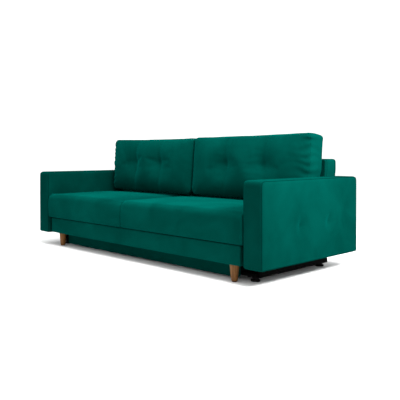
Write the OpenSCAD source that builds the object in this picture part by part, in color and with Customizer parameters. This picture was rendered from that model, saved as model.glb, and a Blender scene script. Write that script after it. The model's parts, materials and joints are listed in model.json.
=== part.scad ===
// Three-seat pull-out sofa bed with wooden front legs.
// X runs along the sofa, the front faces -Y, Z is up.
// The origin is on the floor, in the middle of the sofa's footprint.

/* [Overall] */
// Width over both arms
sofa_w = 2340; // [2100:10:2400]
// Depth from the front to the rear of the arms
sofa_d = 990; // [985:5:1000]
// Height of the arms above the floor
arm_h = 590; // [570:5:640]
// Width of one arm
arm_t = 138; // [120:2:170]
// Height of the underside of the arms
arm_bottom = 100; // [90:5:110]

/* [Seat] */
// Height of the top of the seat
seat_top = 415; // [410:5:430]
// Height of the underside of the seat
seat_bottom = 226; // [226:2:232]
// Depth of the seat at the top
seat_d = 835; // [820:5:835]
// How far the seam between the two seat halves sits from the middle
seat_seam_x = -75; // [-100:5:100]
// Gap between the seat and each arm
seat_gap = 8; // [6:1:12]

/* [Back] */
// Height of the top of the back panel
back_top = 702; // [680:2:720]
// Thickness of the back panel
back_t = 128; // [100:2:130]
// Height of the bottom of the folding back
back_bottom = 100; // [100:2:110]
// Height of a loose back cushion
pillow_h = 442; // [400:2:450]
// Thickness of a loose back cushion
pillow_t = 185; // [140:5:185]
// Lean of the loose back cushions, in degrees
pillow_lean = 5; // [3:0.5:6]

/* [Legs and feet] */
// Height of the underside of the front rail, which the wooden legs reach
leg_h = 105; // [90:5:110]
// Diameter of a wooden leg at its top
leg_top_d = 56; // [44:2:60]
// Diameter of a wooden leg at the floor
leg_foot_d = 34; // [30:2:40]
// Distance of each wooden leg from the middle
leg_x = 915; // [860:5:930]
// Height of the black plastic feet
foot_h = 25; // [20:1:25]
// Diameter of a black plastic foot
foot_d = 56; // [40:2:56]

/* [Hidden] */

$fn = 64;
eps = 1;

// Depths are counted from the front of the arms, so this moves them to the origin's frame
front_y = -sofa_d / 2;
inner_x = sofa_w / 2 - arm_t;

// Arms: a pine ladder frame inside a padded cover
arm_pad = 16;
arm_member = 40;
arm_round_front = 30;
arm_round_rear = 50;
arm_round_edge = 22;
arm_round_bottom = 12;

// Fixed base: black side boards on foot rails, with battens across
board_t = 18;
side_front = 158;
side_rear = 852;
side_top = 215;
foot_rail_w = 56;
foot_rail_h = 20;
foot_rail_front = 132;
foot_rail_rear = 854;
foot_front = 162;
foot_rear = 820;
foot_x = 992;
batten_w = 55;
batten_depths = [145, 400, 798];

// Steel fasteners
bolt_r = 4;
bolt_head_r = 7;
bolt_head_t = 5;
bolt_len = 62;
bolt_z = 120;
bolt_depths = [200, 420, 600, 810];
bore_play = 0.05;
bore_clear = 0.2;

// Guide rails: steel channels that carry the rear of the seat
rail_w = 20;
rail_z = 175;
rail_h = 40;
rail_wall = 2;
rail_front = 165;
rail_rear = 848;

// Storage box under the seat
box_half = 908;
box_front = 112;
box_front_t = 18;
box_rear = 458;
box_wall = 16;
box_floor_t = 8;
box_top = 165;
box_front_z = 15;

// Seat frame of pine boards, with elastic webbing over it and padding around it
frame_board = 25;
frame_half = 986;
frame_front = 32;
frame_rear = 740;
frame_h = 74;
cross_x = 330;
bottom_cover_t = 3;
strap_w = 60;
strap_t = 2;
strap_count = 12;
seat_rear_slope = 67;
seat_half = inner_x - seat_gap;
seat_round = 38;
seam_gap = 1;
pocket_play = 2;

// Front rail and what carries the legs
front_rail_half = 1002;
front_rail_d = 16;
front_rail_t = 28;
front_rail_gap = 5;
leg_depth = 66;
block_w = 100;
block_rear = 106;
glide_r = 15;
glide_t = 4;
stud_len = 60;

// Sliders: nylon blocks that run in the guide rails
slider_len = 80;
slider_front = 690;
slider_play = 0.5;
slider_bracket_t = 3;

// Back: the pivot is set so that the folded back lies level with the seat top,
// with its far end in line with the rear of the arms
back_front = 840;
back_rear = back_front + back_t;
back_half = 1024;
back_lower_half = 940;
back_split = 330;
back_round = 18;
back_board_t = 18;
back_board_edge = 21;
pivot_d = (seat_top + back_front + sofa_d - back_top) / 2;
pivot_z = (seat_top + back_front - sofa_d + back_top) / 2;
pivot_pin_r = 6;
pivot_plate_t = 2.5;
pivot_head_t = 1.5;
bracket_t = 4;
bracket_eye_r = 18;
bracket_top = 560;
bracket_low = 440;
bracket_rear = 950;

// Loose back cushions
pillow_front = 602;
pillow_end = 1018;
pillow_gap = 4;
pillow_round = 40;
pillow_play = 0.5;
pillow_lift = (pillow_t - pillow_round) * sin(pillow_lean) + pillow_round * (1 - cos(pillow_lean));

// Colours
velvet = [0.0, 0.38, 0.33];
beech = [0.76, 0.55, 0.36];
pine = [0.85, 0.72, 0.50];
black = [0.07, 0.07, 0.07];
steel = [0.62, 0.64, 0.66];
webbing = [0.25, 0.22, 0.20];
nylon = [0.90, 0.90, 0.88];

// Box given by its lowest and highest x, depth from the front, and z
module block(x, d, z) {
    translate([x[0], front_y + d[0], z[0]])
        cube([x[1] - x[0], d[1] - d[0], z[1] - z[0]]);
}

// Box on one side of the sofa: side is -1 for left and 1 for right, x is counted outwards
module side_block(side, x, d, z) {
    block(side > 0 ? x : [-x[1], -x[0]], d, z);
}

// What is left of a square corner outside a round one, with the corner at the origin
module corner_waste(r) {
    difference() {
        translate([-eps, -eps]) square(r + eps);
        translate([r, r]) circle(r);
    }
}

// Rectangle with its own radius at each corner: [low left, low right, high right, high left]
module rounded_rect(w, h, radii) {
    difference() {
        square([w, h]);
        corner_waste(radii[0]);
        translate([w, 0]) mirror([1, 0]) corner_waste(radii[1]);
        translate([w, h]) rotate(180) corner_waste(radii[2]);
        translate([0, h]) mirror([0, 1]) corner_waste(radii[3]);
    }
}

// Extrudes an outline drawn in depth and height along X, from x0 to x1
module along_x(x0, x1) {
    translate([x0, front_y, 0])
        rotate([90, 0, 90])
            linear_extrude(x1 - x0) children();
}

// Extrudes an outline drawn in width and height towards the rear, from depth d0 to d1
module along_y(d0, d1) {
    translate([0, front_y + d1, 0])
        rotate([90, 0, 0])
            linear_extrude(d1 - d0) children();
}

// Cylinder along X, from x outwards on one side
module side_pin(side, x, d, z, r, len) {
    translate([side > 0 ? x : -x - len, front_y + d, z])
        rotate([0, 90, 0]) cylinder(r = r, h = len);
}

module arm_frame(side) {
    x0 = inner_x + arm_pad;
    x1 = sofa_w / 2 - arm_pad;
    d0 = arm_pad;
    d1 = sofa_d - arm_pad;
    z1 = arm_h - arm_pad;
    bay = (d1 - d0 - 3 * arm_member) / 2;
    color(pine) difference() {
        side_block(side, [x0, x1], [d0, d1], [arm_bottom, z1]);
        for (i = [0, 1])
            side_block(side, [x0 - eps, x1 + eps],
                [d0 + arm_member + i * (bay + arm_member), d0 + (i + 1) * (bay + arm_member)],
                [arm_bottom + arm_member, z1 - arm_member]);
        for (d = bolt_depths)
            side_pin(side, x0 - eps, d, bolt_z, bolt_r + bore_play, bolt_len - board_t - arm_pad + eps);
    }
}

module arm_padding(side) {
    x0 = side > 0 ? inner_x : -sofa_w / 2;
    color(velvet) difference() {
        intersection() {
            along_x(x0, x0 + arm_t)
                translate([0, arm_bottom])
                    rounded_rect(sofa_d, arm_h - arm_bottom,
                        [arm_round_bottom, arm_round_bottom, arm_round_rear, arm_round_front]);
            along_y(0, sofa_d)
                translate([x0, arm_bottom])
                    rounded_rect(arm_t, arm_h - arm_bottom,
                        [arm_round_bottom, arm_round_bottom, arm_round_edge, arm_round_edge]);
        }
        side_block(side, [inner_x + arm_pad, sofa_w / 2 - arm_pad], [arm_pad, sofa_d - arm_pad],
            [arm_bottom - eps, arm_h - arm_pad]);
        for (d = bolt_depths)
            side_pin(side, inner_x - eps, d, bolt_z, bolt_r + bore_clear, arm_pad + 2 * eps);
    }
}

module side_board(side) {
    color(black) difference() {
        side_block(side, [inner_x - board_t, inner_x], [side_front, side_rear], [foot_h, side_top]);
        for (d = bolt_depths)
            side_pin(side, inner_x - board_t - eps, d, bolt_z, bolt_r + bore_clear, board_t + 2 * eps);
    }
}

module foot_rail(side) {
    x1 = inner_x - board_t;
    color(black)
        side_block(side, [x1 - foot_rail_w, x1], [foot_rail_front, foot_rail_rear],
            [foot_h, foot_h + foot_rail_h]);
}

module cross_battens() {
    x1 = inner_x - board_t - foot_rail_w;
    color(black) for (d = batten_depths)
        block([-x1, x1], [d, d + batten_w], [foot_h, foot_h + foot_rail_h]);
}

module plastic_foot(side, depth) {
    base_h = foot_h * 0.45;
    color(black) translate([side * foot_x, front_y + depth, 0]) {
        cylinder(r1 = foot_d / 2 - 2, r2 = foot_d / 2, h = 2);
        translate([0, 0, 2]) cylinder(d = foot_d, h = base_h - 2);
        translate([0, 0, base_h]) cylinder(r1 = foot_d / 2 - 4, r2 = foot_d / 2 - 8, h = foot_h - base_h);
    }
}

module arm_bolts() {
    head_x = inner_x - board_t;
    color(steel) for (side = [-1, 1], d = bolt_depths) {
        side_pin(side, head_x - bolt_head_t, d, bolt_z, bolt_head_r, bolt_head_t);
        side_pin(side, head_x, d, bolt_z, bolt_r, bolt_len - 2);
    }
}

module guide_rail(side) {
    x1 = inner_x - board_t;
    color(steel) difference() {
        side_block(side, [x1 - rail_w, x1], [rail_front, rail_rear], [rail_z, rail_z + rail_h]);
        side_block(side, [x1 - rail_w - eps, x1 - rail_wall], [rail_front - eps, rail_rear + eps],
            [rail_z + rail_wall, rail_z + rail_h - rail_wall]);
    }
}

module pivot_plate(side) {
    plate_x = inner_x - pivot_plate_t;
    pin_x = back_half - pivot_head_t;
    color(steel) {
        side_block(side, [plate_x, inner_x], [pivot_d - 30, pivot_d + 30], [pivot_z - 40, pivot_z + 75]);
        side_pin(side, pin_x, pivot_d, pivot_z, pivot_pin_r, plate_x - pin_x);
        side_pin(side, pin_x - pivot_head_t, pivot_d, pivot_z, pivot_pin_r + 3, pivot_head_t);
    }
}

module storage_front_panel() {
    color(velvet)
        along_x(-box_half, box_half)
            translate([box_front, box_front_z])
                rounded_rect(box_front_t, box_top - box_front_z, [4, 2, 2, 4]);
}

module storage_floor() {
    color(black)
        block([-box_half, box_half], [box_front + box_front_t, box_rear],
            [foot_h + foot_rail_h, foot_h + foot_rail_h + box_floor_t]);
}

module storage_wall(side) {
    color(black)
        side_block(side, [box_half - box_wall, box_half], [box_front + box_front_t, box_rear - box_wall],
            [foot_h + foot_rail_h + box_floor_t, box_top]);
}

module storage_rear_wall() {
    color(black)
        block([-box_half, box_half], [box_rear - box_wall, box_rear],
            [foot_h + foot_rail_h + box_floor_t, box_top]);
}

module seat_end_board(depth) {
    color(pine)
        block([-frame_half, frame_half], [depth, depth + frame_board], [seat_bottom, seat_bottom + frame_h]);
}

module seat_side_board(side) {
    color(pine)
        side_block(side, [frame_half - frame_board, frame_half],
            [frame_front + frame_board, frame_rear - frame_board],
            [seat_bottom, seat_bottom + frame_h]);
}

module seat_cross_members() {
    color(pine) for (x = [-cross_x, cross_x])
        block([x - frame_board / 2, x + frame_board / 2],
            [frame_front + frame_board, frame_rear - frame_board],
            [seat_bottom, seat_bottom + frame_h]);
}

// Hardboard panels that close the three bays of the seat frame from below
module seat_bottom_cover() {
    in_x = frame_half - frame_board;
    half = frame_board / 2;
    bays = [[-in_x, -cross_x - half], [-cross_x + half, cross_x - half], [cross_x + half, in_x]];
    color(pine) for (bay = bays)
        block(bay, [frame_front + frame_board, frame_rear - frame_board],
            [seat_bottom, seat_bottom + bottom_cover_t]);
}

module seat_webbing() {
    z = seat_bottom + frame_h;
    pitch = (2 * frame_half - strap_w - 40) / (strap_count - 1);
    color(webbing) for (i = [0 : strap_count - 1])
        block([-frame_half + 20 + i * pitch, -frame_half + 20 + i * pitch + strap_w],
            [frame_front, frame_rear], [z, z + strap_t]);
}

// Seat padding in section: the front edge is rounded and the rear leans back as it rises,
// which gives the folding back room to swing up behind it
module seat_section() {
    difference() {
        polygon([[0, seat_bottom], [seat_d - seat_rear_slope, seat_bottom], [seat_d, seat_top], [0, seat_top]]);
        translate([0, seat_top]) mirror([0, 1]) corner_waste(seat_round);
        translate([0, seat_bottom]) corner_waste(6);
    }
}

module seat_cushion(x0, x1) {
    color(velvet) difference() {
        along_x(x0, x1) seat_section();
        block([-frame_half - pocket_play, frame_half + pocket_play],
            [frame_front - pocket_play, frame_rear + pocket_play],
            [seat_bottom - eps, seat_bottom + frame_h + strap_t + pocket_play]);
        for (side = [-1, 1])
            side_block(side, [frame_half, frame_half + slider_bracket_t + pocket_play],
                [slider_front - 4, slider_front + slider_len + 4], [seat_bottom - eps, 300]);
    }
}

module front_rail() {
    color(velvet)
        along_x(-front_rail_half, front_rail_half)
            translate([front_rail_d, leg_h])
                rounded_rect(front_rail_t, seat_bottom - front_rail_gap - leg_h, [7, 2, 2, 7]);
}

module leg_block(side) {
    color(black) difference() {
        side_block(side, [leg_x - block_w / 2, leg_x + block_w / 2],
            [front_rail_d + front_rail_t, block_rear], [leg_h, seat_bottom]);
        translate([side * leg_x, front_y + leg_depth, leg_h - eps])
            cylinder(r = bolt_r + bore_play, h = stud_len / 2 + eps);
    }
}

module leg(side) {
    color(beech) translate([side * leg_x, front_y + leg_depth, glide_t]) difference() {
        cylinder(d1 = leg_foot_d, d2 = leg_top_d, h = leg_h - glide_t);
        translate([0, 0, leg_h - glide_t - stud_len / 2])
            cylinder(r = bolt_r + bore_play, h = stud_len / 2 + eps);
    }
}

module leg_glide(side) {
    color(black) translate([side * leg_x, front_y + leg_depth, 0]) cylinder(r = glide_r, h = glide_t);
}

module leg_studs() {
    color(steel) for (side = [-1, 1])
        translate([side * leg_x, front_y + leg_depth, leg_h - stud_len / 2 + 1])
            cylinder(r = bolt_r, h = stud_len - 2);
}

module slider(side) {
    x1 = inner_x - board_t - rail_wall - slider_play;
    x0 = frame_half + slider_bracket_t;
    color(nylon)
        side_block(side, [x0, x1], [slider_front, slider_front + slider_len],
            [rail_z + rail_wall + slider_play, rail_z + rail_h - rail_wall - slider_play]);
}

module slider_bracket(side) {
    color(steel)
        side_block(side, [frame_half, frame_half + slider_bracket_t],
            [slider_front, slider_front + slider_len - 55], [rail_z + rail_wall + slider_play, 290]);
}

module back_board() {
    d0 = (back_front + back_rear - back_board_t) / 2;
    color(pine) along_y(d0, d0 + back_board_t)
        polygon([
            [-back_lower_half + back_board_edge, back_bottom + 5],
            [back_lower_half - back_board_edge, back_bottom + 5],
            [back_lower_half - back_board_edge, back_split + 10],
            [back_half - back_board_edge, back_split + 10],
            [back_half - back_board_edge, back_top - back_board_edge],
            [-back_half + back_board_edge, back_top - back_board_edge],
            [-back_half + back_board_edge, back_split + 10],
            [-back_lower_half + back_board_edge, back_split + 10],
        ]);
}

// Room for the back board inside the two paddings
module back_board_room() {
    d0 = (back_front + back_rear - back_board_t) / 2;
    x_low = back_lower_half - back_board_edge;
    x_high = back_half - back_board_edge;
    block([-x_low, x_low], [d0, d0 + back_board_t], [back_bottom + 5, back_split + 10 + eps]);
    block([-x_high, x_high], [d0, d0 + back_board_t], [back_split + 10, back_top - back_board_edge]);
}

module back_padding() {
    color(velvet) difference() {
        intersection() {
            along_x(-back_half, back_half)
                translate([back_front, back_split])
                    rounded_rect(back_t, back_top - back_split, [8, 8, back_round, back_round]);
            along_y(back_front, back_rear)
                translate([-back_half, back_split])
                    rounded_rect(2 * back_half, back_top - back_split, [8, 8, back_round, back_round]);
        }
        back_board_room();
    }
}

module back_lower_padding() {
    color(velvet) difference() {
        along_x(-back_lower_half, back_lower_half)
            translate([back_front, back_bottom])
                rounded_rect(back_t, back_split - back_bottom, [10, 10, 4, 4]);
        back_board_room();
    }
}

module hinge_bracket(side) {
    x0 = side > 0 ? back_half : -back_half - bracket_t;
    color(steel) along_x(x0, x0 + bracket_t) difference() {
        union() {
            translate([pivot_d, pivot_z]) circle(bracket_eye_r);
            translate([pivot_d, pivot_z - bracket_eye_r])
                square([bracket_rear - pivot_d, 2 * bracket_eye_r]);
            translate([back_front + 20, bracket_low])
                square([bracket_rear - back_front - 20, bracket_top - bracket_low]);
        }
        translate([pivot_d, pivot_z]) circle(pivot_pin_r + bore_play);
    }
}

module back_cushion(side) {
    x0 = side > 0 ? pillow_gap : -pillow_end;
    color(velvet)
        translate([x0, front_y + pillow_front, seat_top + pillow_play + pillow_lift])
            rotate([-pillow_lean, 0, 0])
                rotate([90, 0, 90])
                    linear_extrude(pillow_end - pillow_gap)
                        rounded_rect(pillow_t, pillow_h,
                            [pillow_round, pillow_round, pillow_round, pillow_round]);
}

arm_frame(-1);  // left_arm_frame
arm_frame(1);  // right_arm_frame
arm_padding(-1);  // left_arm_padding
arm_padding(1);  // right_arm_padding
side_board(-1);  // left_side_board
side_board(1);  // right_side_board
foot_rail(-1);  // left_foot_rail
foot_rail(1);  // right_foot_rail
cross_battens();
plastic_foot(-1, foot_front);  // front_left_foot
plastic_foot(1, foot_front);  // front_right_foot
plastic_foot(-1, foot_rear);  // rear_left_foot
plastic_foot(1, foot_rear);  // rear_right_foot
arm_bolts();
guide_rail(-1);  // left_guide_rail
guide_rail(1);  // right_guide_rail
pivot_plate(-1);  // left_pivot_plate
pivot_plate(1);  // right_pivot_plate
storage_front_panel();
storage_floor();
storage_wall(-1);  // storage_left_wall
storage_wall(1);  // storage_right_wall
storage_rear_wall();
seat_end_board(frame_front);  // seat_front_board
seat_end_board(frame_rear - frame_board);  // seat_rear_board
seat_side_board(-1);  // seat_left_board
seat_side_board(1);  // seat_right_board
seat_cross_members();
seat_bottom_cover();
seat_webbing();
seat_cushion(-seat_half, seat_seam_x - seam_gap / 2);  // left_seat_cushion
seat_cushion(seat_seam_x + seam_gap / 2, seat_half);  // right_seat_cushion
front_rail();
leg_block(-1);  // left_leg_block
leg_block(1);  // right_leg_block
leg(-1);  // left_leg
leg(1);  // right_leg
leg_glide(-1);  // left_leg_glide
leg_glide(1);  // right_leg_glide
leg_studs();
slider(-1);  // left_slider
slider(1);  // right_slider
slider_bracket(-1);  // left_slider_bracket
slider_bracket(1);  // right_slider_bracket
back_board();
back_padding();
back_lower_padding();
hinge_bracket(-1);  // left_hinge_bracket
hinge_bracket(1);  // right_hinge_bracket
back_cushion(-1);  // left_back_cushion
back_cushion(1);  // right_back_cushion
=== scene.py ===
"""Velvet pull-out sofa bed with wooden front legs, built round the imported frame. Lengths are in metres."""

import json
import math

import bpy
import numpy as np
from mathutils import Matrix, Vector, noise


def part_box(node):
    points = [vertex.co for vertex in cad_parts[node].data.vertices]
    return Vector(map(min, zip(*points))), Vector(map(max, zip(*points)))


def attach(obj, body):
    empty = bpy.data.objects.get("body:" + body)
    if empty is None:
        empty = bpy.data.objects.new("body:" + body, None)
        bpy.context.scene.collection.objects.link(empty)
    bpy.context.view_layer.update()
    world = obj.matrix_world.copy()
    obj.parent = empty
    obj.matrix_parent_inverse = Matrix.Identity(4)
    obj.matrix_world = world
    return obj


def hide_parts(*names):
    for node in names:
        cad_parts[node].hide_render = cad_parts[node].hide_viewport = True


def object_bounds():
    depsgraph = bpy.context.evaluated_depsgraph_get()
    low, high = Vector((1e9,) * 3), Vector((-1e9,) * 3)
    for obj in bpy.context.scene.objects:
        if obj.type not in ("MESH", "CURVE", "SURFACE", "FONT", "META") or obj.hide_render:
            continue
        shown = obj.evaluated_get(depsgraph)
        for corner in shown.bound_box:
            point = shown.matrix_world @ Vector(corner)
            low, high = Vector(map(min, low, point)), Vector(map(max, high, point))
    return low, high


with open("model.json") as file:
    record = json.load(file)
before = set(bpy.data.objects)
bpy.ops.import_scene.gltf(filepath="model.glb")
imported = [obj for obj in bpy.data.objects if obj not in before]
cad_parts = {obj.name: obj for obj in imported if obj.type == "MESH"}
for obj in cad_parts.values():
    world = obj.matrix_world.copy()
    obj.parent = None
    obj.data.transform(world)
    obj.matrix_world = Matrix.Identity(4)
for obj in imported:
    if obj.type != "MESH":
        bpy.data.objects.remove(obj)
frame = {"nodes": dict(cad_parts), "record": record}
CAD_LOW, CAD_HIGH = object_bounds()

FRONT = CAD_LOW.y

# Loose back cushions
PILLOW_LEAN = math.radians(5.0)
PILLOW_THICK, PILLOW_TALL = 0.142, 0.431
PILLOW_CROWN = 0.046
PILLOW_TUFTS = {-1: (0.325, 0.635), 1: (0.325, 0.655)}  # shares of the width, by side
PILLOW_TUFT_HEIGHT = 0.54  # share of the height
PILLOW_TILT = {-1: -0.008, 1: 0.013}  # rise of the top from the low-x end to the other, by side
PILLOW_INNER_SWELL = 0.032  # extra thickness where the two cushions meet
HELD_ROUND_TUFT = 0.016
AIR_PRESSURE, AIR_FRAMES, AIR_CAP = 4.0, 18, 0.018
CREASE_DEPTH, CREASE_WIDTH = 0.013, 0.034
OUTER_END_BULGE = 0.011

# Arms
ARM_TUFT_DEPTHS = (0.370, 0.663)  # behind the front of the arm
ARM_TUFT_HEIGHT = 0.443  # share of the height
ARM_FACE_PROUD = 0.006  # furthest that an arm face stands past its CAD box

# Seat halves
SEAT_REAR_SLOPE, SEAT_SLOPE_REACH = 0.067, 0.25


# ---------------------------------------------------------------- materials


class Nodes:
    """Short ways to add and join shader nodes in one material."""

    def __init__(self, name):
        self.material = bpy.data.materials.new(name)
        self.material.use_nodes = True
        self.tree = self.material.node_tree
        self.shader = self.tree.nodes["Principled BSDF"]
        self.place = self.add("ShaderNodeTexCoord").outputs["Object"]

    def add(self, kind, **values):
        node = self.tree.nodes.new(kind)
        for key, value in values.items():
            if hasattr(node, key):
                setattr(node, key, value)
            else:
                node.inputs[key.replace("_", " ")].default_value = value
        return node

    def join(self, output, socket):
        self.tree.links.new(output, socket)

    def scaled(self, scale):
        mapping = self.add("ShaderNodeMapping")
        mapping.inputs["Scale"].default_value = scale
        self.join(self.place, mapping.inputs["Vector"])
        return mapping.outputs["Vector"]

    def noise(self, scale, detail=3.0, roughness=0.55, stretch=None, distortion=0.0):
        made = self.add(
            "ShaderNodeTexNoise", Scale=scale, Detail=detail, Roughness=roughness, Distortion=distortion
        )
        self.join(self.scaled(stretch) if stretch else self.place, made.inputs["Vector"])
        return made.outputs["Fac"]

    def ramp(self, factor, stops):
        made = self.add("ShaderNodeValToRGB")
        points = made.color_ramp.elements
        while len(points) < len(stops):
            points.new(0.5)
        for point, (position, colour) in zip(points, stops):
            point.position = position
            point.color = (*colour, 1.0)
        self.join(factor, made.inputs["Fac"])
        return made.outputs["Color"]

    def mix(self, factor, a, b, blend="MIX"):
        made = self.add("ShaderNodeMix", data_type="RGBA", blend_type=blend)
        for value, socket in ((factor, made.inputs[0]), (a, made.inputs[6]), (b, made.inputs[7])):
            if hasattr(value, "is_output"):
                self.join(value, socket)
            else:
                socket.default_value = value
        return made.outputs[2]

    def span(self, factor, low, high):
        made = self.add("ShaderNodeMapRange")
        made.inputs["To Min"].default_value = low
        made.inputs["To Max"].default_value = high
        self.join(factor, made.inputs["Value"])
        return made.outputs["Result"]

    def between(self, value, low, high):
        """0 at low and 1 at high, eased at both ends."""
        made = self.add("ShaderNodeMapRange", interpolation_type="SMOOTHSTEP")
        made.inputs["From Min"].default_value = low
        made.inputs["From Max"].default_value = high
        self.join(value, made.inputs["Value"])
        return made.outputs["Result"]

    def bump(self, heights):
        """Bumps laid over each other: pairs of a height output and its size in metres."""
        last = None
        for height, size in heights:
            made = self.add("ShaderNodeBump")
            made.inputs["Strength"].default_value = 1.0
            made.inputs["Distance"].default_value = size
            self.join(height, made.inputs["Height"])
            if last:
                self.join(last, made.inputs["Normal"])
            last = made.outputs["Normal"]
        self.join(last, self.shader.inputs["Normal"])

    def set(self, **values):
        for key, value in values.items():
            self.shader.inputs[key.replace("_", " ")].default_value = value


def velvet(name, dark, light, sheen, seed, painted_shade=None):
    """Short-pile velvet: brushed patches where the pile lies differently, fine pile, soft sheen.

    The last argument paints shade into the cloth: it darkens the cloth to a share of its colour
    where x and z rise from the first to the second of their two places.
    """
    n = Nodes(name)
    patches = n.noise(3.4, 3.0, 0.55, (1.0, 1.2, 1.1 + seed), 0.7)
    strokes = n.noise(15.0, 4.0, 0.62, (1.0, 1.0, 0.75), 0.5)
    pile = n.noise(850.0, 2.0, 0.7)
    base = n.ramp(patches, [(0.32, dark), (0.68, light)])
    brushed = n.mix(n.span(strokes, 0.0, 0.5), base, (*[(a + b) / 2 for a, b in zip(dark, light)], 1.0))
    colour = n.mix(n.span(pile, 0.0, 0.5), brushed, (*[c * 0.45 for c in dark], 1.0))
    # Painted shade: the cloth darkens where x and z rise between the given places.
    if painted_shade:
        x_places, z_places, share = painted_shade
        parts = n.add("ShaderNodeSeparateXYZ")
        n.join(n.place, parts.inputs[0])
        along = n.between(parts.outputs["X"], *x_places)
        upward = n.between(parts.outputs["Z"], *z_places)
        both = n.add("ShaderNodeMath", operation="MULTIPLY")
        n.join(along, both.inputs[0])
        n.join(upward, both.inputs[1])
        colour = n.mix(both.outputs[0], colour, n.mix(1.0, colour, (share, share, share, 1.0), "MULTIPLY"))
    n.join(colour, n.shader.inputs["Base Color"])
    n.join(n.span(strokes, 0.70, 0.90), n.shader.inputs["Roughness"])
    n.set(Sheen_Weight=sheen, Sheen_Roughness=0.38, Sheen_Tint=(0.0, 0.78, 0.66, 1.0), Specular_IOR_Level=0.0)
    n.bump([(strokes, 0.0016), (pile, 0.0005)])
    return n.material


def wood(name, pale, mid, deep, ring_scale, coat, stretch):
    """Wood with growth rings, fine pores along the grain and a lacquer or a bare surface."""
    n = Nodes(name)
    grain = n.noise(ring_scale, 4.0, 0.6, stretch, 1.2)
    pores = n.noise(ring_scale * 9, 2.0, 0.6, stretch)
    tone = n.ramp(grain, [(0.32, deep), (0.5, mid), (0.66, pale)])
    colour = n.mix(n.span(pores, 0.0, 0.5), tone, (*[c * 0.55 for c in deep], 1.0))
    n.join(colour, n.shader.inputs["Base Color"])
    n.join(n.span(pores, 0.38, 0.62), n.shader.inputs["Roughness"])
    n.set(Coat_Weight=coat, Coat_Roughness=0.25, Specular_IOR_Level=0.15)
    n.bump([(grain, 0.0004), (pores, 0.0003)])
    return n.material


def moulded(name, colour, roughness, gloss):
    """Moulded plastic or foil-faced board with a fine, slightly uneven grain."""
    n = Nodes(name)
    cloud = n.noise(40.0, 3.0)
    grain = n.noise(1400.0, 2.0)
    worn = [min(1.0, c * 1.5 + 0.001) for c in colour]
    n.join(n.ramp(cloud, [(0.35, colour), (0.75, worn)]), n.shader.inputs["Base Color"])
    n.join(n.span(grain, roughness - 0.08, roughness + 0.12), n.shader.inputs["Roughness"])
    n.set(Specular_IOR_Level=gloss)
    n.bump([(grain, 0.00015)])
    return n.material


def brushed_steel(name):
    n = Nodes(name)
    lines = n.noise(60.0, 4.0, 0.7, (1.0, 0.04, 1.0))
    spots = n.noise(14.0, 4.0)
    tone = n.ramp(spots, [(0.3, (0.36, 0.37, 0.38)), (0.7, (0.58, 0.59, 0.60))])
    n.join(tone, n.shader.inputs["Base Color"])
    n.join(n.span(lines, 0.28, 0.5), n.shader.inputs["Roughness"])
    n.set(Metallic=1.0)
    n.bump([(lines, 0.0001)])
    return n.material


def woven(name, colour):
    """Woven elastic webbing: ribs along and across the strap."""
    n = Nodes(name)
    along = n.add("ShaderNodeTexWave", Scale=90.0, Distortion=0.5, bands_direction="X")
    across = n.add("ShaderNodeTexWave", Scale=60.0, Distortion=0.5, bands_direction="Y")
    for wave in (along, across):
        n.join(n.place, wave.inputs["Vector"])
    ribs = n.mix(0.5, along.outputs["Color"], across.outputs["Color"])
    tone = n.mix(n.span(ribs, 0.0, 0.7), (*colour, 1.0), (0.16, 0.14, 0.12, 1.0))
    n.join(tone, n.shader.inputs["Base Color"])
    n.set(Roughness=0.85)
    n.bump([(ribs, 0.0006)])
    return n.material


DEEP = (0.0, 0.030, 0.0235)
FRESH = (0.0002, 0.052, 0.041)
MATERIALS = {
    "velvet": velvet("velvet", DEEP, FRESH, 0.10, 0.0),
    # A darker copy of the velvet, 0.8 of its colour: painted shade on the arms' inner, front, top, rear and
    # under faces and on the storage panel.
    "velvet_shaded_band": velvet("velvet_shaded_band", [c * 0.80 for c in DEEP], [c * 0.80 for c in FRESH], 0.06, 0.05),
    # Painted shade in the cloth: the top of the left seat half darkens towards the seam.
    "velvet_left_seat_painted_shade": velvet(
        "velvet_left_seat_painted_shade", DEEP, FRESH, 0.10, 0.0, ((-0.60, -0.02), (0.375, 0.41), 0.5)
    ),
    # A darker copy of the velvet for the seam cords: painted shade along the seams.
    "seam": velvet("velvet_seam_painted_shade", (0.0, 0.014, 0.011), (0.0, 0.026, 0.021), 0.05, 0.1),
    "beech_leg": wood(
        "beech", (0.205, 0.092, 0.024), (0.15, 0.062, 0.014), (0.094, 0.036, 0.0075),
        9.0, 0.03, (6.0, 6.0, 0.6),
    ),
    "pine_board": wood(
        "pine", (0.70, 0.52, 0.30), (0.62, 0.43, 0.23), (0.48, 0.30, 0.14), 5.0, 0.0, (1.0, 4.0, 6.0)
    ),
    "black_board": moulded("black_board", (0.0015, 0.0015, 0.0015), 0.7, 0.01),
    "black_plastic": moulded("black_plastic", (0.002, 0.002, 0.002), 0.5, 0.04),
    "nylon": moulded("nylon", (0.68, 0.68, 0.64), 0.35, 0.5),
    "steel": brushed_steel("steel"),
    "webbing": woven("webbing", (0.035, 0.03, 0.028)),
}


# ---------------------------------------------------------------- mesh tools


def ticks(low, high, band, step, in_band=4):
    """Positions from low to high: close together within band of each end, about step apart between."""
    edge = band * np.linspace(0.0, 1.0, in_band + 1)
    count = max(2, round((high - low - 2 * band) / step))
    middle = np.linspace(low + band, high - band, count + 1)[1:-1]
    return np.concatenate([low + edge, middle, (high - edge)[::-1]])


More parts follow.
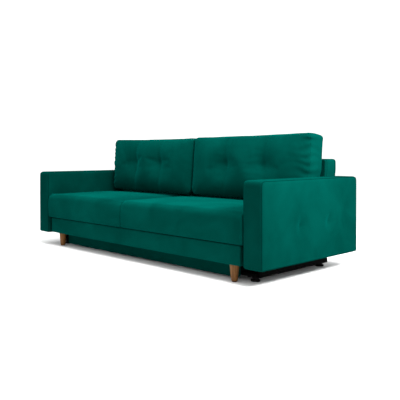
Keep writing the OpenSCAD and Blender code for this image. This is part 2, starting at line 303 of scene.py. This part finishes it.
class Block:
    """A closed box of quads. home keeps each vertex's place on the box, points its present place."""

    def __init__(self, low, high, band, step):
        self.low, self.high = np.array(low, float), np.array(high, float)
        self.lines = [ticks(a, b, min(w, (b - a) * 0.3), step) for a, b, w in zip(low, high, band)]
        shape = [len(line) for line in self.lines]
        outside = np.zeros(shape, bool)
        for axis in range(3):
            for end in (0, -1):
                outside[tuple(end if a == axis else slice(None) for a in range(3))] = True
        self.index = np.full(shape, -1)
        self.index[outside] = np.arange(outside.sum())
        where = np.nonzero(outside)
        self.home = np.column_stack([line[i] for line, i in zip(self.lines, where)])
        self.points = self.home.copy()
        sides, self.side_of = [], []
        for axis in range(3):
            for end, low_end in ((0, True), (-1, False)):
                grid = self.index.take(end, axis=axis)
                corners = [grid[:-1, :-1], grid[1:, :-1], grid[1:, 1:], grid[:-1, 1:]]
                quads = np.stack(corners, -1).reshape(-1, 4)
                sides.append(quads[:, ::-1] if low_end != (axis == 1) else quads)
                self.side_of += [(axis, -1 if low_end else 1)] * len(quads)
        self.faces = np.concatenate(sides)

    def share(self):
        """Each vertex's place on the box from 0 to 1 along each axis."""
        return (self.home - self.low) / (self.high - self.low)

    def normals(self):
        p, f = self.points, self.faces
        across = np.cross(p[f[:, 2]] - p[f[:, 0]], p[f[:, 3]] - p[f[:, 1]])
        total = np.zeros_like(p)
        for corner in range(4):
            np.add.at(total, f[:, corner], across)
        return total / np.maximum(np.linalg.norm(total, axis=1, keepdims=True), 1e-12)

    def round(self, axis, edge, corners):
        """Rounds the edges of the two faces across axis, and the four corners of their outline.

        corners gives a radius for (low, low), (high, low), (high, high) and (low, high) of the other axes.
        """
        b, c = [a for a in range(3) if a != axis]
        p, low, high = self.points, self.low, self.high
        inner = np.clip(p, low + edge, high - edge)
        over = p - inner
        side = np.abs(over[:, axis])
        rim = np.maximum(np.abs(over[:, b]), np.abs(over[:, c]))
        reach = np.maximum(np.hypot(side, rim), 1e-9)
        bent = (side > 0) & (rim > 0)
        scale = np.where(bent, np.maximum(side, rim) / reach, 1.0)
        p = np.where(bent[:, None], inner + over * scale[:, None], p)
        for (at_b, at_c), radius in zip(((0, 0), (1, 0), (1, 1), (0, 1)), corners):
            centre_b = high[b] - radius if at_b else low[b] + radius
            centre_c = high[c] - radius if at_c else low[c] + radius
            db, dc = p[:, b] - centre_b, p[:, c] - centre_c
            inside = ((db > 0) == bool(at_b)) & ((dc > 0) == bool(at_c))
            factor = np.maximum(np.abs(db), np.abs(dc)) / np.maximum(np.hypot(db, dc), 1e-9)
            p[:, b] = np.where(inside, centre_b + db * factor, p[:, b])
            p[:, c] = np.where(inside, centre_c + dc * factor, p[:, c])
        self.points = p

    def swell(self, amount):
        """Moves each vertex out along its normal."""
        self.points = self.points + self.normals() * np.asarray(amount)[:, None]

    def facing(self, axis, sign):
        """How far each vertex faces one way, from 0 to 1."""
        return np.clip(self.normals()[:, axis] * sign, 0.0, 1.0)

    def object(self, name, material, subdivide=True, second=None, main_sides=()):
        """Makes the mesh. Where second is given, it covers every side but main_sides."""
        mesh = bpy.data.meshes.new(name)
        mesh.from_pydata(self.points.tolist(), [], self.faces.tolist())
        mesh.materials.append(material)
        if second:
            mesh.materials.append(second)
            indices = [int(side not in main_sides) for side in self.side_of]
            mesh.polygons.foreach_set("material_index", indices)
        mesh.shade_smooth()
        made = bpy.data.objects.new(name, mesh)
        bpy.context.scene.collection.objects.link(made)
        if subdivide:
            subdivided(made)
        return made


def subdivided(piece):
    softer = piece.modifiers.new("smooth", "SUBSURF")
    softer.levels = softer.render_levels = 1


def hump(share, power=2.5):
    """1 in the middle of a span and 0 at its ends."""
    return 1.0 - np.abs(2.0 * share - 1.0) ** power


def bell(distance, width):
    return np.exp(-((distance / width) ** 2))


def cloud(points, scale, seed):
    """Smooth noise from about -1 to 1 at each point."""
    offset = Vector((seed * 7.3, seed * 3.1, seed * 5.7))
    return np.array([noise.noise(Vector(p) * scale + offset) for p in points])


def tuft(block, place, across, depth, spread, crease=0.0, reach=0.1):
    """A pulled-in point on a face: a pit in a wide shallow hollow, with a soft crease up and down from it."""
    u, v = across
    du = block.home[:, u] - place[0]
    dv = block.home[:, v] - place[1]
    away = np.hypot(du, dv)
    pit = depth * (0.42 * np.exp(-away / (spread * 0.30)) + 0.58 * bell(away, spread))
    fold = crease * bell(du + 0.012 * np.sin(dv * 22), spread * (0.42 + 1.2 * np.abs(dv))) * bell(dv, reach)
    return pit + fold


def seam(block, name, loops, body, radius=0.0022, sink=0.0008, material="seam"):
    """A sewn seam along lists of vertices: a thin rolled edge of the same cloth, by default in a darker copy
    of it that paints shade along the seam.
    """
    curve = bpy.data.curves.new(name, "CURVE")
    curve.dimensions = "3D"
    curve.bevel_depth = radius
    curve.bevel_resolution = 2
    out = block.normals()
    for loop in loops:
        line = curve.splines.new("POLY")
        line.points.add(len(loop) - 1)
        for point, vertex in zip(line.points, loop):
            point.co = (*(block.points[vertex] - out[vertex] * sink), 1.0)
    curve.materials.append(MATERIALS[material])
    made = bpy.data.objects.new(name, curve)
    bpy.context.scene.collection.objects.link(made)
    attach(made, body)
    return made


def upholster(piece, body, node):
    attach(piece, body)
    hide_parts(node)


def turned(name, profile, place, material, sides=48):
    """A turned piece: profile is a list of (radius, height), place its centre on the floor plane."""
    angles = np.arange(sides) * 2 * math.pi / sides
    points, faces = [], []
    for radius, height in profile:
        points += [(place[0] + radius * math.cos(a), place[1] + radius * math.sin(a), height) for a in angles]
    for ring in range(len(profile) - 1):
        low, high = ring * sides, (ring + 1) * sides
        faces += [(low + i, low + (i + 1) % sides, high + (i + 1) % sides, high + i) for i in range(sides)]
    faces.append(tuple(range(sides))[::-1])
    faces.append(tuple(range((len(profile) - 1) * sides, len(profile) * sides)))
    mesh = bpy.data.meshes.new(name)
    mesh.from_pydata(points, [], faces)
    mesh.materials.append(material)
    mesh.shade_smooth()
    made = bpy.data.objects.new(name, mesh)
    bpy.context.scene.collection.objects.link(made)
    crisp = made.modifiers.new("flat ends", "EDGE_SPLIT")
    crisp.split_angle = math.radians(40)
    return made


# ---------------------------------------------------------------- upholstered pieces


def arm(side, name):
    """Block arm: a band over the front, top and rear, and a padded outer face with two tufts; every face but
    the outer one is in a darker velvet, painted shade.
    """
    node = f"{name}_arm_padding"
    low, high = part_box(node)
    block = Block(low, high, (0.018, 0.05, 0.05), 0.013)
    block.round(0, 0.016, (0.012, 0.012, 0.03, 0.026))
    s = block.share()
    outer = block.facing(0, side)
    inner = block.facing(0, -side)
    under = block.facing(2, -1)
    crown = hump(s[:, 1], 4) * hump(s[:, 2], 4)
    places = [(FRONT + d, low[2] + (high[2] - low[2]) * ARM_TUFT_HEIGHT) for d in ARM_TUFT_DEPTHS]
    pits = sum(tuft(block, place, (1, 2), 0.030, 0.055, 0.003, 0.07) for place in places)
    loose = cloud(block.home, 3.2, 4 + side) * 0.0022 + cloud(block.home, 9.0, 9 + side) * 0.0008
    padding = outer * (0.010 * crown - pits) + inner * 0.001 * crown + under * 0.003
    block.swell(padding + loose * (0.3 + 0.7 * crown))
    block.points[:, 0] = np.clip(block.points[:, 0], low[0] - ARM_FACE_PROUD, high[0] + ARM_FACE_PROUD)
    # Every face but the outer one takes the darker velvet: painted shade.
    piece = block.object(f"{name}_arm", MATERIALS["velvet"], True, MATERIALS["velvet_shaded_band"], [(0, side)])
    upholster(piece, "base", node)
    face = high[0] if side > 0 else low[0]
    rows = [outline(block, 0, x) for x in (face, low[0] if side > 0 else high[0])]
    seam(block, f"{name}_arm_seams", rows, "base")


def outline(block, axis, place):
    """The closed line round one face of a block, across axis at place."""
    b, c = [a for a in range(3) if a != axis]
    at = int(np.argmin(np.abs(block.lines[axis] - place)))
    grid = block.index.take(at, axis=axis)
    ring = [*grid[:, 0], *grid[-1, 1:], *grid[-2::-1, -1], *grid[0, -2:0:-1], grid[0, 0]]
    return [int(v) for v in ring if v >= 0]


def seat_half(name, middle_is_high):
    """Half of the seat: crowned top, soft front edge, pulled in along the seam between the halves.

    middle_is_high is true for the left half, whose seam is at its high-x end.
    """
    node = f"{name}_seat_cushion"
    low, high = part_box(node)
    block = Block(low, high, (0.03, 0.05, 0.05), 0.014)
    block.round(0, 0.006, (0.006, 0.004, 0.012, 0.042))
    s = block.share()
    behind = (block.points[:, 1] - (high[1] - SEAT_SLOPE_REACH)) / SEAT_SLOPE_REACH
    slope = np.clip(behind, 0.0, 1.0) * SEAT_REAR_SLOPE
    block.points[:, 1] -= slope * (1.0 - s[:, 2])
    to_seam = (high[0] - block.home[:, 0]) if middle_is_high else (block.home[:, 0] - low[0])
    to_arm = (block.home[:, 0] - low[0]) if middle_is_high else (high[0] - block.home[:, 0])
    top = block.facing(2, 1)
    front = block.facing(1, -1)
    crown = hump(s[:, 0], 3) * hump(s[:, 1], 3)
    valley = bell(to_seam, 0.13 if middle_is_high else 0.018)
    edge = bell(to_arm, 0.06)
    loose = cloud(block.home, 2.6, 2 + middle_is_high) * 0.0035 + cloud(block.home, 8.0, 6) * 0.001
    under_cushion = np.clip((block.home[:, 1] - (high[1] - 0.30)) / 0.10, 0.0, 1.0)
    dip = 0.018 if middle_is_high else 0.008
    lift = top * (0.006 * crown - dip * valley - 0.008 * edge - 0.007 * under_cushion + loose)
    belly = front * (0.006 * hump(s[:, 2], 2) - 0.006 * bell(to_seam, 0.026) * s[:, 2] ** 2 + 0.5 * loose)
    out_end = block.facing(0, -1 if middle_is_high else 1) * bell(to_arm, 0.01) * 0.005
    block.swell(lift + belly + out_end)
    # The left half takes the velvet with painted shade towards the seam.
    piece = block.object(f"{name}_seat_half", MATERIALS["velvet_left_seat_painted_shade" if middle_is_high else "velvet"])
    upholster(piece, "seat", node)


def front_rail():
    low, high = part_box("front_rail")
    block = Block(low, high, (0.02, 0.008, 0.01), 0.016)
    block.round(0, 0.006, (0.007, 0.002, 0.002, 0.007))
    front = block.facing(1, -1)
    loose = cloud(block.home, 3.0, 11) * 0.0015 + cloud(block.home, 14.0, 3) * 0.0005
    block.swell(front * (loose + 0.001))
    piece = block.object("front_rail_cover", MATERIALS["velvet"])
    upholster(piece, "seat", "front_rail")


def storage_panel():
    low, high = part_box("storage_front_panel")
    block = Block(low, high, (0.02, 0.005, 0.01), 0.02)
    block.round(0, 0.004, (0.004, 0.002, 0.002, 0.004))
    front = block.facing(1, -1)
    block.swell(front * cloud(block.home, 3.0, 17) * 0.001)
    # The panel takes the darker velvet: painted shade under the seat.
    piece = block.object("storage_panel_cover", MATERIALS["velvet_shaded_band"])
    upholster(piece, "base", "storage_front_panel")


def back_panel():
    """Folding back: padded upper part with a seam round its front and rear, and its narrower lower part."""
    low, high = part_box("back_padding")
    block = Block(low, high, (0.02, 0.02, 0.025), 0.016)
    block.round(1, 0.009, (0.008, 0.008, 0.018, 0.018))
    s = block.share()
    crown = hump(s[:, 0], 8) * hump(s[:, 2], 3)
    front, rear = block.facing(1, -1), block.facing(1, 1)
    loose = cloud(block.home, 2.4, 21) * 0.002
    above_arms = np.clip((block.home[:, 2] - 0.60) / 0.03, 0.0, 1.0)
    ends = (block.facing(0, -1) + block.facing(0, 1)) * above_arms
    block.swell((front + rear) * (0.004 * crown + loose * crown) + ends * 0.004)
    piece = block.object("back_upper", MATERIALS["velvet"])
    upholster(piece, "back", "back_padding")
    welt_at = low[1] + (high[1] - low[1]) * 0.86
    seam(block, "back_upper_seams", [outline(block, 1, y) for y in (low[1] + 0.014, welt_at)], "back")
    low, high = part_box("back_lower_padding")
    block = Block(low, high, (0.012, 0.012, 0.012), 0.02)
    block.round(0, 0.008, (0.01, 0.01, 0.004, 0.004))
    piece = block.object("back_lower", MATERIALS["velvet"])
    upholster(piece, "back", "back_lower_padding")


def inflate(piece, block, pressure, frames, cap):
    """Fills the cover with air by cloth simulation and keeps the result; no point moves further than cap."""
    cloth = piece.modifiers.new("cloth", "CLOTH")
    settings = cloth.settings
    settings.quality = 6
    settings.mass = 0.35
    settings.tension_stiffness = settings.compression_stiffness = 18
    settings.bending_stiffness = 2.5
    settings.use_pressure = True
    settings.uniform_pressure_force = pressure
    settings.effector_weights.gravity = 0
    settings.vertex_group_mass = "held"
    settings.pin_stiffness = 1.0
    cloth.collision_settings.use_collision = False
    scene = bpy.context.scene
    for number in range(1, frames + 1):
        scene.frame_set(number)
    cooked = piece.evaluated_get(bpy.context.evaluated_depsgraph_get())
    moved = np.empty(len(cooked.data.vertices) * 3)
    cooked.data.vertices.foreach_get("co", moved)
    step = moved.reshape(-1, 3) - block.points
    length = np.maximum(np.linalg.norm(step, axis=1, keepdims=True), 1e-9)
    block.points = block.points + step * np.minimum(1.0, cap / length)
    piece.modifiers.remove(cloth)
    scene.frame_set(1)


def back_cushion(name, side):
    """Loose cushion: two panels and a boxing strip, with two tufts and a crease up and down from each."""
    node = f"{name}_back_cushion"
    low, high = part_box(node)
    thick, tall, wide = PILLOW_THICK, PILLOW_TALL, high[0] - low[0]
    block = Block((0.0, 0.0, 0.0), (wide, thick, tall), (0.03, 0.03, 0.03), 0.0125)
    block.round(1, 0.018, (0.045, 0.045, 0.026, 0.026))
    s = block.share()
    front, rear = block.facing(1, -1), block.facing(1, 1)
    ends, top = block.facing(0, -1) + block.facing(0, 1), block.facing(2, 1)
    middle = hump(s[:, 1], 2)
    inward = 1.0 - s[:, 0] if side > 0 else s[:, 0]
    block.points[:, 1] -= PILLOW_INNER_SWELL * inward * (1.0 - s[:, 1])
    clear_of_arm = np.clip((block.home[:, 2] - 0.17) / 0.04, 0.0, 1.0)
    upright = np.where(s[:, 2] < 0.5, hump(s[:, 2], 4.2), hump(s[:, 2], 2.4))
    crown = hump(s[:, 0], 2.6) * upright
    places = [(wide * share, tall * PILLOW_TUFT_HEIGHT) for share in PILLOW_TUFTS[side]]
    pits = sum(tuft(block, place, (0, 2), 0.024, 0.095, 0.015, 0.21) for place in places)
    loose = cloud(block.home, 3.0, 30 + side) * 0.004 + cloud(block.home, 9.0, 33 + side) * 0.0018
    block.swell(
        front * (PILLOW_CROWN * crown - pits + loose)
        + rear * (0.010 * crown - 0.5 * pits)
        + ends * 0.0035 * middle * clear_of_arm
        + top * (0.004 * middle - 0.004 * hump(s[:, 0], 4) + PILLOW_TILT[side] * s[:, 0] + loose)
    )
    seams = [outline(block, 1, y) for y in (0.0, thick)]
    from_tufts = [np.hypot(block.home[:, 0] - x, block.home[:, 2] - z) for x, z in places]
    near_tuft = np.minimum.reduce(from_tufts) < HELD_ROUND_TUFT
    held = sorted({*np.nonzero(near_tuft)[0].tolist(), *seams[0], *seams[1]})
    piece = block.object(f"{name}_pillow", MATERIALS["velvet"], False)
    group = piece.vertex_groups.new(name="held")
    group.add(held, 1.0, "REPLACE")
    inflate(piece, block, AIR_PRESSURE, AIR_FRAMES, AIR_CAP)
    ridges = np.sin(block.home[:, 2] * 125 + 4.0 * cloud(block.home, 9.0, 2))
    gathers = np.sin(block.home[:, 0] * 118 + 4.0 * cloud(block.home, 7.0, 5)) * (1.0 - middle)
    to_end = wide - block.home[:, 0] if side > 0 else block.home[:, 0]
    waves = [block.home[:, 0] - x + 0.010 * np.sin((block.home[:, 2] - z) * 18) for x, z in places]
    creases = sum(np.exp(-np.abs(wave) / CREASE_WIDTH) for wave in waves)
    pleat_depth = 0.0030 if side > 0 else 0.0012
    end_pleats = block.facing(0, side) * pleat_depth * (1.0 - s[:, 1])
    pleats = (end_pleats + front * 0.0026 * bell(to_end, 0.055)) * ridges
    block.swell(pleats + top * gathers * 0.0010 - front * CREASE_DEPTH * creases * hump(s[:, 2], 4))
    outer_end = (s[:, 0] if side > 0 else 1.0 - s[:, 0]) ** 3
    block.points[:, 0] += side * OUTER_END_BULGE * outer_end * clear_of_arm
    c, d = math.cos(PILLOW_LEAN), math.sin(PILLOW_LEAN)
    turn = np.array([[1, 0, 0], [0, c, d], [0, -d, c]])
    block.points = block.points @ turn.T
    back_plane = high[1] + 0.002 - block.points[:, 1].max()
    block.points += np.array([low[0], back_plane, low[2] - block.points[:, 2].min() + 0.001])
    piece.data.vertices.foreach_set("co", block.points.ravel())
    subdivided(piece)
    body = f"{name}_cushion"
    upholster(piece, body, node)
    seam(block, f"{name}_pillow_seams", seams, body, 0.0014, 0.0006, "velvet")


# ---------------------------------------------------------------- wooden legs, feet and the CAD parts


def wooden_leg(name):
    low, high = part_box(f"{name}_leg")
    centre = ((low[0] + high[0]) / 2, (low[1] + high[1]) / 2)
    top, foot = (high[0] - low[0]) / 2, 0.018
    height = high[2] - low[2]
    profile = [(foot - 0.002, low[2]), (foot, low[2] + 0.0025)]
    for i in range(1, 13):
        share = i / 12
        belly = 0.0012 * math.sin(math.pi * share)
        profile.append((foot + (top - foot) * share + belly, low[2] + 0.0025 + (height - 0.0045) * share))
    profile.append((top - 0.002, high[2]))
    piece = turned(f"{name}_wooden_leg", profile, centre, MATERIALS["beech_leg"])
    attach(piece, "seat")
    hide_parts(f"{name}_leg")


def plastic_foot(name):
    low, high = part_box(name)
    centre = ((low[0] + high[0]) / 2, (low[1] + high[1]) / 2)
    wide, tall = (high[0] - low[0]) / 2, high[2] - low[2]
    profile = [
        (wide - 0.002, 0.0), (wide, 0.002), (wide, tall * 0.38), (wide - 0.0015, tall * 0.45),
        (wide - 0.008, tall * 0.50), (wide - 0.010, tall * 0.60), (wide - 0.010, tall * 0.92),
        (wide - 0.006, tall),
    ]
    piece = turned(f"{name}_moulding", profile, centre, MATERIALS["black_plastic"])
    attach(piece, "base")
    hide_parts(name)


def dress_cad_parts():
    """Gives every CAD part that stays its material, and boards a slightly broken edge."""
    slots = {part["node"]: part["material_slot"] for part in frame["record"]["subparts"]}
    for node, cad in frame["nodes"].items():
        material = MATERIALS[slots[node]]
        if cad.material_slots:
            for place in cad.material_slots:
                place.link = "OBJECT"
                place.material = material
        else:
            cad.data.materials.append(material)
        if slots[node] in ("pine_board", "black_board"):
            edge = cad.modifiers.new("broken edge", "BEVEL")
            edge.width = 0.0012
            edge.segments = 2
            edge.angle_limit = math.radians(40)


# ---------------------------------------------------------------- stage


def studio():
    """White floor under an even white light, with a soft key from the right and a wide light above."""
    bpy.ops.mesh.primitive_plane_add(size=60)
    floor = bpy.context.object
    floor.name = "floor"
    n = Nodes("floor")
    n.set(Base_Color=(0.90, 0.90, 0.90, 1.0), Roughness=0.9, Specular_IOR_Level=0.1)
    floor.data.materials.append(n.material)
    world = bpy.data.worlds.new("studio")
    world.use_nodes = True
    world.node_tree.nodes["Background"].inputs["Color"].default_value = (1.0, 1.0, 1.0, 1.0)
    world.node_tree.nodes["Background"].inputs["Strength"].default_value = 1.25
    bpy.context.scene.world = world
    for name, place, aim, power, wide, tall, spread in (
        ("key", (2.9, -0.15, 1.95), (1.15, 0.0, 0.82), 26, 1.5, 0.7, 62),
        ("top", (-0.2, -0.35, 2.7), (0.0, 0.1, 0.4), 55, 1.8, 1.5, 130),
    ):
        light = bpy.data.lights.new(name, "AREA")
        light.shape = "RECTANGLE"
        light.energy, light.size, light.size_y, light.spread = power, wide, tall, math.radians(spread)
        lamp = bpy.data.objects.new(name, light)
        lamp.location = place
        lamp.rotation_euler = (Vector(aim) - Vector(place)).to_track_quat("-Z", "Y").to_euler()
        bpy.context.scene.collection.objects.link(lamp)
    bpy.context.scene.view_settings.view_transform = "Standard"


def photographers_camera():
    """Level camera at seat-back height, turned to the left, with its frame shifted down."""
    data = bpy.data.cameras.new("camera")
    data.sensor_width, data.lens = 36.0, 52.14
    data.shift_x, data.shift_y = 0.035, -0.1158
    data.clip_end = 100
    camera = bpy.data.objects.new("camera", data)
    camera.location = (3.1304, -2.9450, 0.7375)
    camera.rotation_euler = (math.radians(90), 0, math.radians(46.14))
    bpy.context.scene.collection.objects.link(camera)
    bpy.context.scene.camera = camera


photographers_camera()
studio()
dress_cad_parts()
arm(-1, "left")
arm(1, "right")
seat_half("left", True)
seat_half("right", False)
front_rail()
storage_panel()
back_panel()
back_cushion("left", -1)
back_cushion("right", 1)
for leg_name in ("left", "right"):
    wooden_leg(leg_name)
for foot_name in ("front_left_foot", "front_right_foot", "rear_left_foot", "rear_right_foot"):
    plastic_foot(foot_name)
